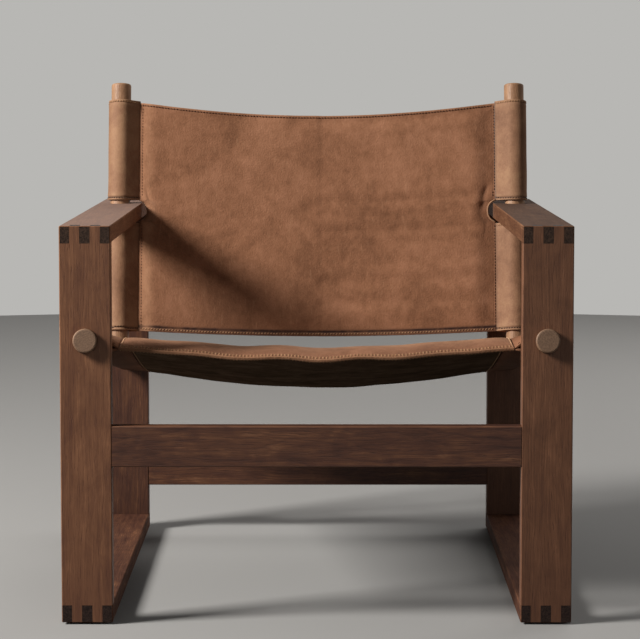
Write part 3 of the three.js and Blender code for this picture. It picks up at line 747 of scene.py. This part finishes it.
def slow_rise(distance):
    """Climbs from 0 to 1 over 32 mm, with an even slope between its soft ends."""
    return (smooth(distance / 20) + smooth((distance - 12) / 20)) / 2


# %% [markdown]
# The back panel has a notch in each side edge, through which the arm passes. The grid's rows follow the
# notch's round corners, and the columns beside it make way, so that the edge stays one clean loop. Short
# creases run from the notches, where the pull of the sling gathers.

# %% The notches and their creases
back_edge_x = RAIL_X - (BACK_REACH + GAP) * cos(BACK_ANGLE)
back_edge_y = (BACK_REACH + GAP) * sin(BACK_ANGLE)
# The right notch's crease: height above the notch, and distance from the panel's edge
CREASE = ((-18, 17.5), (-8, 20.5), (4, 20.0), (16, 16.5), (28, 10.5))


def notch_depth(z):
    if not NOTCH_LOW <= z <= NOTCH_HIGH:
        return 0.0
    rise = NOTCH_ROUND - min(z - NOTCH_LOW, NOTCH_HIGH - z, NOTCH_ROUND)
    return max(0.0, NOTCH_DEEP - NOTCH_ROUND + sqrt(NOTCH_ROUND ** 2 - rise ** 2))


def crease(side, inside, z):
    """One soft fold stands beside the right notch, and shallow creases leave the left one."""
    above = z - NOTCH_HIGH
    if side < 0:
        slanting = 1.2 * hump((inside - 13) * 0.6 + (z - NOTCH_LOW - 6) * 0.8, 2.6)
        slanting *= smooth((inside - 13) / 8) * smooth((54 - inside) / 26)
        upright = hump(inside - 15 + 0.3 * above, 2.8)
        return slanting + upright * smooth((above + 6) / 6) * smooth((26 - above) / 14)
    at = CREASE[0][1]
    for (low, near), (high, far) in zip(CREASE, CREASE[1:]):
        if low <= above <= high:
            at = near + (far - near) * (above - low) / (high - low)
    reach = smooth((above + 20) / 12) * smooth((34 - above) / 20)
    below = hump(inside - 15 - 0.15 * (NOTCH_LOW - z), 2.8)
    below *= smooth((NOTCH_LOW + 6 - z) / 6) * smooth((z - NOTCH_LOW + 40) / 20)
    return (2.1 * hump(inside - at, 5.8) - 0.3 * hump(inside - at + 10, 6)) * reach + 0.35 * below


# %% [markdown]
# The panel sags between the posts, and both its rims dip in the middle. On the right the seam lies in a
# thin strip whose edge wanders where the thread puckers it. On the left the padding starts at the seam.

# %% The back panel
BACK_SAG, TOP_DIP, BOTTOM_DIP = 15.0, 19.0, 7.2
TOP_LINE, BOTTOM_LINE = 4.6, 6.6
STRIP = 1.5


def seam_wander(z):
    """How the padding's edge wanders on the right, and how hard it is drawn in there."""
    pull = drift(z / 17, 7.0, 0)
    return 1.6 * drift(z / 31, 8.0, 3.0) + 1.1 * pull, 1 + 0.5 * pull


def back_place(x, z):
    """The middle of the hide: x across from the centre, z up the side seam, both in millimetres."""
    side = 1 if x > 0 else -1
    inside = back_edge_x - abs(x)
    hollow = 1 - (x / back_edge_x) ** 2
    low, high = BACK_LOW - BOTTOM_DIP * hollow, PANEL_HIGH - TOP_DIP * hollow
    height = low + (high - low) * (z - BACK_LOW) / (PANEL_HIGH - BACK_LOW)
    place = Vector((x, back_edge_y + BACK_SAG * hollow, height))
    place.x -= side * notch_depth(z) * smooth(1 - inside / 60)
    place.x += side * (GAP + 0.1) * hump(inside, 1.5) * (notch_depth(z) == 0)
    wave = drift(x / 95, z / 120, 4.0) * 1.5 + drift(x / 38, z / 60, 9.0) * 0.6
    # The padding rolls forward beside the seam, at once on the left and slowly on the right
    if side > 0:
        wander, pull = seam_wander(z)
        roll = 2.6 * pull * slow_rise(inside - STRIP - wander) + 2.0 * smooth(inside / 70)
    else:
        roll = 1.0 * smooth(inside / 4) + 4.4 * (1 - (1 - min(inside / 28, 1)) ** 2)
    place.y += wave * smooth(inside / 40) + crease(side, back_edge_x - abs(place.x), z) - roll
    return place, inside


def back_point(x, z):
    place, inside = back_place(x, z)
    from_bottom, from_top = z - BACK_LOW, PANEL_HIGH - z
    wall = min(hem_wall(from_bottom, BOTTOM_LINE), hem_wall(from_top, TOP_LINE, 0.8))
    # Painted shade: a dark line where the lower hem's fold meets the padding, and a faint one in the top
    # groove
    dark = 1.1 * hump(from_bottom - 7.5, 2.4) + 0.05 * hump(from_top - TOP_LINE, 1.5)
    light = 0.45 * hump(from_top, 2.0)
    if x > 0:
        strip = STRIP + seam_wander(z)[0]
        wall = min(wall, padded(slow_rise(inside - strip)))
        # Painted shade in the seam and in the hollow beside the padding
        dark += 0.2 * hump(inside - 0.6, 1.4) + 0.10 * hump(inside - strip - 17, 11)
    else:
        wall = min(wall, padded(cushion(inside, 9)))
        # Painted shade in the seam, and a painted highlight on the roll of padding that faces the light
        dark += 0.4 * hump(inside - 0.6, 1.4)
        light += (0.5 if z < NOTCH_LOW else 0.25) * hump(inside - 12, 9)
    wall -= 0.8 * hump(inside - SEAM_LINE, 0.9)
    # Painted shade darkens the hide round the notch and along the creases
    notch = abs(z - (NOTCH_LOW + NOTCH_HIGH) / 2) - (NOTCH_HIGH - NOTCH_LOW) / 2
    if notch < 14:
        dark += 0.30 * hump(hypot(max(notch, 0), max(inside - NOTCH_DEEP * (notch < 0), 0)) - 3, 4)
    dark += 0.13 * max(crease(1 if x > 0 else -1, back_edge_x - abs(place.x), z), 0)
    # Painted shade darkens the folded lower hem, and the lower left, where less light reaches
    dark += 0.5 * smooth((BOTTOM_LINE - from_bottom) / 3)
    dark += 0.2 * hump(x + 130, 130) * smooth((150 - from_bottom) / 90)
    return place, wall, dark, light


# %% [markdown]
# Rows crowd at the hems and the notches, and columns at the seams.

# %% Cut the back panel
columns = both_sides([back_edge_x - d for d in spaced(back_edge_x, SIDE_STOPS, (0,), 4.6)], 4)
turn_in = asin(1 - NOTCH_DEEP / NOTCH_ROUND)
arc_rows = [NOTCH_ROUND * (1 - cos(angle)) for angle in steps(turn_in, pi / 2, 9)]
notch_rows = [NOTCH_LOW + d for d in arc_rows] + [NOTCH_HIGH - d for d in arc_rows]
BY_NOTCH = (0.8, 2, 3.6, 5.5, 8, 11, 14.5, 18.5, 23, 28, 34)
BY_BOTTOM = (0, 1.2, 2.6, 4, 5.4, 6.6, 7.5, 8.2, 9, 10, 11.6, 14, 18, 23, 29)
BY_TOP = (0, 1.2, 2.4, 3.6, 4.6, 5.6, 7, 9, 12, 16, 21, 27, 33)
rows = notch_rows + [(NOTCH_LOW + NOTCH_HIGH) / 2]
rows += [NOTCH_LOW - d for d in BY_NOTCH] + [NOTCH_HIGH + d for d in BY_NOTCH]
rows += [BACK_LOW + d for d in BY_BOTTOM] + [PANEL_HIGH - d for d in BY_TOP]
rows += steps(BACK_LOW + BY_BOTTOM[-1], NOTCH_LOW - BY_NOTCH[-1], 22)[1:-1]
rows += steps(NOTCH_HIGH + BY_NOTCH[-1], PANEL_HIGH - BY_TOP[-1], 18)[1:-1]
bm = grid(columns, sorted({round(z, 4) for z in rows}), back_point)
turn_faces(bm, lambda middle: Vector((0, -1, 0)))
back_panel = leather("back_panel", bm, post_frame, PANEL_WALL, 0, panel_hide, 1.0)

# %% [markdown]
# The seat panel is longer than it is wide and hangs deeper at the back. Its front edge ripples a little
# where it leaves the rails, and settles within a hand's width or two. Its underside is the flesh side.

# %% The seat panel
SAG_FRONT, SAG_CREST, SAG_BACK = 15.0, 14.0, 26.0
RIPPLE, RIPPLE_LONG, RIPPLE_SHIFT, RIPPLE_FADE = 1.8, 113.0, 62.0, 260.0
SEAT_LINE, SEAT_HALF = 4.6, 276


def seat_place(across, along):
    """The middle of the hide: across from -1 to 1 between the seams, along the rails in millimetres."""
    angle = seat_angle(along)
    edge_x = RAIL_X - (SEAT_REACH + GAP) * cos(angle)
    edge_z = (SEAT_REACH + GAP) * sin(angle)
    run = along - SEAT_FRONT
    behind = (run - LIP_LONG) / (SEAT_LONG - LIP_LONG)
    if behind > 0:
        sag = SAG_CREST + (SAG_BACK - SAG_CREST) * behind
    else:
        sag = SAG_CREST + (SAG_FRONT - SAG_CREST) * (1 - run / LIP_LONG) ** 2
    x = edge_x * across
    phase = 2 * pi * (x - RIPPLE_SHIFT) / RIPPLE_LONG
    sag -= RIPPLE * max(0, 1 - run / RIPPLE_FADE) * cos(phase)
    inside = edge_x - abs(x)
    wave = drift(x / 100, along / 120, 21.0) * 1.6 + drift(x / 40, along / 55, 33.0) * 0.6
    height = edge_z - (1 - across ** 2) ** 1.35 * sag + wave * smooth(inside / 40)
    return Vector((x, along, height)), inside


def seat_point(across, along):
    place, inside = seat_place(across, along)
    from_front, from_back = along - SEAT_FRONT, SEAT_REAR - along
    hems = hem_wall(from_front, SEAT_LINE), hem_wall(from_back, SEAT_LINE)
    wall = min(*hems, padded(cushion(inside, 22)))
    # Painted shade in the hem grooves at the front and the rear, and at the seams
    dark = 0.35 * hump(from_front - SEAT_LINE, 1.0) + 0.35 * hump(from_back - SEAT_LINE, 1.0)
    dark += 0.4 * hump(inside, 2.2)
    # The edge is rubbed lighter, and the crest behind it, which the light catches, gets a painted
    # highlight
    light = 0.35 * hump(from_front, 1.8) + 0.38 * hump(from_front - 85, 36)
    return place, wall, dark, light


columns = both_sides([1 - d / SEAT_HALF for d in spaced(SEAT_HALF, SIDE_STOPS, (0,), 4.8)], 6)
SEAT_HEM = (0, 1.2, 2.4, 3.4, 4.2, 5, 6, 7.6, 10, 13, 17, 22, 28)
bm = grid(columns, [SEAT_FRONT + s for s in spaced(SEAT_LONG, SEAT_HEM, SEAT_HEM, 6.5)], seat_point)
turn_faces(bm, lambda middle: Vector((0, 0, 1)))
seat_panel = leather("seat_panel", bm, rail_frame, PANEL_WALL, 0, seat_hide, 1.0,
                     flesh_side, seat_hide)

# %% [markdown]
# ## Stitches
# A stitch is a low bead of thread. One small sphere of a few dozen faces is stretched into the bead and
# laid along each seam at a pitch of 4.8 mm, each one set on the hide it is sewn through: the nearest
# point of the finished surface gives its place and the way it faces.

# %% One row of stitches
PITCH = 4.8
DOZEN = 12


def finished_surface(made):
    return BVHTree.FromObject(made, bpy.context.evaluated_depsgraph_get())


def stitch_row(name, host, path, material, bead=(3.5, 1.7, 0.8), slant=0.12):
    """path: points in metres a little off the surface. bead: length, width and height in mm."""
    lengths = [0.0]
    for a, b in zip(path, path[1:]):
        lengths.append(lengths[-1] + (b - a).length)
    count = int(lengths[-1] / (PITCH * MM))
    long, wide, high = bead
    # A mesh slows down as it grows, so the beads are made a dozen at a time
    bm, few, lot = bmesh.new(), bmesh.new(), bpy.data.meshes.new("a_dozen_beads")
    at = 0
    for k in range(count):
        target = lengths[-1] * (k + 0.5) / count
        while lengths[at + 1] < target:
            at += 1
        share = (target - lengths[at]) / max(lengths[at + 1] - lengths[at], 1e-9)
        point = path[at].lerp(path[at + 1], share)
        spot = host.find_nearest(point)[0]
        up = (point - spot).normalized()
        along = (path[at + 1] - path[at]).normalized()
        along = (along - up * along.dot(up)).normalized()
        beside = up.cross(along)
        along, beside = along + beside * slant, beside - along * slant
        turn = Matrix((along * long / 2, beside * wide / 2, up * high)).transposed()
        place = Matrix.Translation(spot + up * 0.15 * MM) @ (turn * MM).to_4x4()
        bmesh.ops.create_uvsphere(few, u_segments=6, v_segments=4, radius=1, matrix=place)
        if k % DOZEN == DOZEN - 1 or k == count - 1:
            few.to_mesh(lot)
            bm.from_mesh(lot)
            few.clear()
    few.free()
    bpy.data.meshes.remove(lot)
    made = piece(name, bm, material)
    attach(made, "root")
    print(f"{name}: {count} stitches over {lengths[-1] / MM:.0f} mm")
    return made


# %% [markdown]
# The back panel has brown thread along its top and its side seams, and slanting tan stitches on its
# lower hem. The seat has two tan rows in front and one at the rear, and light thread along its side
# seams. Every row shows on both faces.

# %% The panels' stitches
OFF = 7
HEM_STITCHES = 3.7
sewn = {"back": [], "seat": []}
to_back = TO_METRES @ post_frame
to_seat = TO_METRES @ rail_frame
SEWING = {"back": (back_place, finished_surface(back_panel), to_back, Vector((0, 1, 0))),
          "seat": (seat_place, finished_surface(seat_panel), to_seat, Vector((0, 0, 1)))}


def sew(panel, name, points, off, material, **bead):
    place, host, lay, way = SEWING[panel]
    path = [lay @ (place(*p)[0] + way * off) for p in points]
    sewn[panel].append(stitch_row(f"{panel}_{name}", host, path, material, **bead))


across = steps(4 - back_edge_x, back_edge_x - 4, 160)
seam_parts = (("lower", BACK_LOW + 3, NOTCH_LOW - 4), ("upper", NOTCH_HIGH + 5, PANEL_HIGH - 3))
for face, off in (("front", -OFF), ("rear", OFF)):
    points = [(x, PANEL_HIGH - TOP_LINE) for x in across]
    sew("back", f"top_stitches_{face}", points, off, brown_thread)
    points = [(x, BACK_LOW + HEM_STITCHES) for x in across]
    sew("back", f"hem_stitches_{face}", points, off, tan_thread, bead=(3.4, 1.5, 0.8), slant=0.6)
    for hand, x in (("left", SEAM_LINE - back_edge_x), ("right", back_edge_x - SEAM_LINE)):
        for part, low, high in seam_parts:
            points = [(x, z) for z in steps(low, high, 60)]
            sew("back", f"{hand}_seam_stitches_{part}_{face}", points, off, brown_thread)

seat_rows = {"front": SEAT_FRONT + 3.4, "front_second": SEAT_FRONT + 7.4,
             "rear": SEAT_REAR - SEAT_LINE}
for face, off in (("top", OFF), ("underside", -OFF)):
    for place, y in seat_rows.items():
        points = [(x, y) for x in steps(-0.985, 0.985, 160)]
        sew("seat", f"{place}_stitches_{face}", points, off, tan_thread)
    for hand, sign in (("left", -1), ("right", 1)):
        x = sign * (1 - SEAM_LINE / SEAT_HALF)
        points = [(x, y) for y in steps(SEAT_FRONT + 3, SEAT_REAR - 3, 200)]
        sew("seat", f"{hand}_seam_stitches_{face}", points, off, light_thread)

# %% [markdown]
# The sleeves' rims are stitched all round, 4.4 mm from the cut edge: on the back with dark thread low
# and tan thread high, and on the seat with brown thread.

# %% The rims' stitches
def teardrop_path(radius, reach, off=3):
    """Points round the outside of a sleeve, a little off its surface."""
    bm = bmesh.new()
    teardrop(bm, radius, reach)
    points = [v.co.copy() for v in bm.verts]
    bm.free()
    arc, flanks = points[:ARC_STEPS + 1], points[ARC_STEPS + 1:]
    loop = flanks[:len(FLANK)][::-1] + arc + flanks[len(FLANK):]
    return [co + Vector((co.x * 0.3, co.y, 0)).normalized() * off for co in loop[2:-2]]


rims = {}
for (side, part), sleeve in back_sleeves.items():
    lay = TO_METRES @ back_lay(side)
    host = finished_surface(sleeve)
    rims[sleeve] = []
    for rim, material in (("low", dark_thread), ("high", tan_thread)):
        path = []
        for co in teardrop_path(POST_SLEEVE, BACK_REACH):
            low, high = back_rims(part, behind_axis(co))
            z = low + HEM_LINE if rim == "low" else high - HEM_LINE
            path.append(lay @ Vector((co.x, co.y, z)))
        rims[sleeve].append(stitch_row(f"{side}_back_{part}_{rim}_rim_stitches", host, path, material))
for side, sleeve in seat_sleeves.items():
    host = finished_surface(sleeve)
    rims[sleeve] = []
    for rim, along in (("front", SEAT_FRONT + HEM_LINE), ("rear", SEAT_REAR - HEM_LINE)):
        turn = Matrix.Rotation(seat_angle(along), 3, "Z")
        path = []
        for co in teardrop_path(RAIL_SLEEVE, SEAT_REACH):
            co = turn @ co
            x = -RAIL_X + co.x
            path.append(to_seat @ Vector((x if side == "left" else -x, along, co.y)))
        rims[sleeve].append(stitch_row(f"{side}_seat_{rim}_rim_stitches", host, path, brown_thread))

# %% [markdown]
# ## Notch bindings
# The raw edge of each notch is bound with a narrow strip of the smoother hide, folded over it and sewn.
# A small circle, flattened to the strip's section, is placed at stations round the notch and the rings
# are bridged.

# %% The bindings
# Half the thickness and half the width of the strip
THICK, WIDE = 1.5, 3.1


def binding(side):
    sign = 1 if side == "right" else -1
    inner = sorted({round(z, 4) for z in notch_rows})[1:-1]
    path = [back_place(sign * back_edge_x, z)[0] for z in (NOTCH_LOW, *inner, NOTCH_HIGH)]
    for end in (path[0], path[-1]):
        end += Vector((sign * 0.4, 0, 0))
    bm = bmesh.new()
    rings = []
    for k, here in enumerate(path):
        along = (path[min(k + 1, len(path) - 1)] - path[max(k - 1, 0)]).normalized()
        beside = along.cross(Vector((0, 1, 0))).normalized()
        depth = beside.cross(along).normalized()
        turn = Matrix((beside * THICK, depth * WIDE, along)).transposed().to_4x4()
        lay = Matrix.Translation(here) @ turn
        ring = bmesh.ops.create_circle(bm, segments=14, radius=1, cap_ends=False, matrix=lay)["verts"]
        rings.append(list({e for v in ring for e in v.link_edges}))
    for a, b in zip(rings, rings[1:]):
        bmesh.ops.bridge_loops(bm, edges=a + b)
    bmesh.ops.holes_fill(bm, edges=rings[0] + rings[-1])
    bmesh.ops.recalc_face_normals(bm, faces=bm.faces)
    rub_and_highlight = bm.verts.layers.float.new("rub_and_highlight")
    for v in bm.verts:
        v[rub_and_highlight] = 0.45
    bmesh.ops.transform(bm, matrix=to_back, verts=bm.verts)
    made = piece(side + "_notch_binding", bm, sleeve_hide)
    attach(made, "root")
    return made


bindings = [binding("left"), binding("right")]
print([b.name for b in bindings])

# %% [markdown]
# The flat widths of the two panels are measured on what is drawn, across the sag from seam to seam, along
# the middle of the hide's thickness: the back's below its notches, the seat's as the mean of twenty
# stations. For the back's sleeves only the heights of their rims are read.

# %% The panels' flat widths
def path_length(points):
    return sum((b - a).length for a, b in zip(points, points[1:]))


shares = steps(-1, 1, 40)
stations = [SEAT_FRONT + SEAT_LONG * (k + 0.5) / 20 for k in range(20)]
middle = (BACK_LOW + NOTCH_LOW) / 2
back_wide = path_length([back_place(back_edge_x * k, middle)[0] for k in shares])
seat_wide = sum(path_length([seat_place(k, y)[0] for k in shares]) for y in stations) / len(stations)
for (side, part), sleeve in back_sleeves.items():
    low, high = back_rims(part)

# %% [markdown]
# ## Floor and background
# The chair stands on a plain pale floor. What the camera and the gloss see is pale; what lights the
# chair from below is held down, so that the space under the seat stays as deep as it is in life.

# %% The floor and the background
FLOOR_RADIUS = 4.2


def seen(tree):
    """1 where the eye looks, straight or through gloss or glass, and 0 for light that bounces."""
    rays = add(tree, "LightPath").outputs
    eye = calc(tree, "MAXIMUM", rays["Is Camera Ray"], rays["Is Glossy Ray"])
    return calc(tree, "MAXIMUM", eye, rays["Is Transmission Ray"])


material, tree, shader = surface("pale_plaster_floor", Roughness=0.9)
wire(tree, shader, Base_Color=blend(tree, seen(tree), linear(0x393736), linear(0x959390)))
bm = bmesh.new()
bmesh.ops.create_circle(bm, cap_ends=True, segments=96, radius=FLOOR_RADIUS)
floor = piece("floor", bm, material, rounded=False)

world = bpy.data.worlds.new("studio")
scene.world = world
world.use_nodes = True
tree = world.node_tree
sky = blend(tree, seen(tree), (0.046, 0.048, 0.052, 1), linear(0xb8b7b4))
wire(tree, tree.nodes["Background"], Color=sky)

# %% [markdown]
# A soft lamp, high in front to the left, makes the shadows. A weak one fills from the front, and two
# more, behind and at the right rear, keep the far sides from going black.

# %% The lamps
def lamp(name, place, towards, size, power, tint, gloss=True):
    data = bpy.data.lights.new(name, "AREA")
    data.shape, data.size = "SQUARE", size
    data.energy, data.color = power, tint
    made = bpy.data.objects.new(name, data)
    made.location = place
    made.visible_camera = False
    made.visible_glossy = gloss
    made.rotation_euler = (Vector(towards) - Vector(place)).to_track_quat("-Z", "Y").to_euler()
    scene.collection.objects.link(made)


WARM, COOL, NEUTRAL = (1.0, 0.985, 0.965), (0.97, 0.985, 1.0), (1.0, 0.99, 0.98)
lamp("key_lamp", (-3.45, -1.46, 2.63), (0, 0.05, 0.45), 1.08, 336, WARM)
lamp("fill_lamp", (0.6, -4.0, 1.8), (0, 0, 0.4), 2.0, 10, COOL)
lamp("back_lamp", (1.2, 3.4, 3.2), (0, 0, 0.5), 2.0, 42, NEUTRAL, gloss=False)
lamp("side_lamp", (3.0, 2.2, 1.3), (0.2, 0.1, 0.45), 1.8, 42, NEUTRAL, gloss=False)

# %% [markdown]
# The camera stands 3.4 m in front of the chair, level with its top, and looks slightly down.

# %% The camera
data = bpy.data.cameras.new("camera")
data.lens = 139.06
data.sensor_width = 36
data.shift_y = -0.0641
camera = bpy.data.objects.new("camera", data)
camera.location = (0.0096, -3.772, 0.7651)
camera.rotation_euler = (radians(90 - 4.71), 0, 0.0014)
scene.collection.objects.link(camera)
scene.camera = camera
scene.view_settings.view_transform = "Standard"
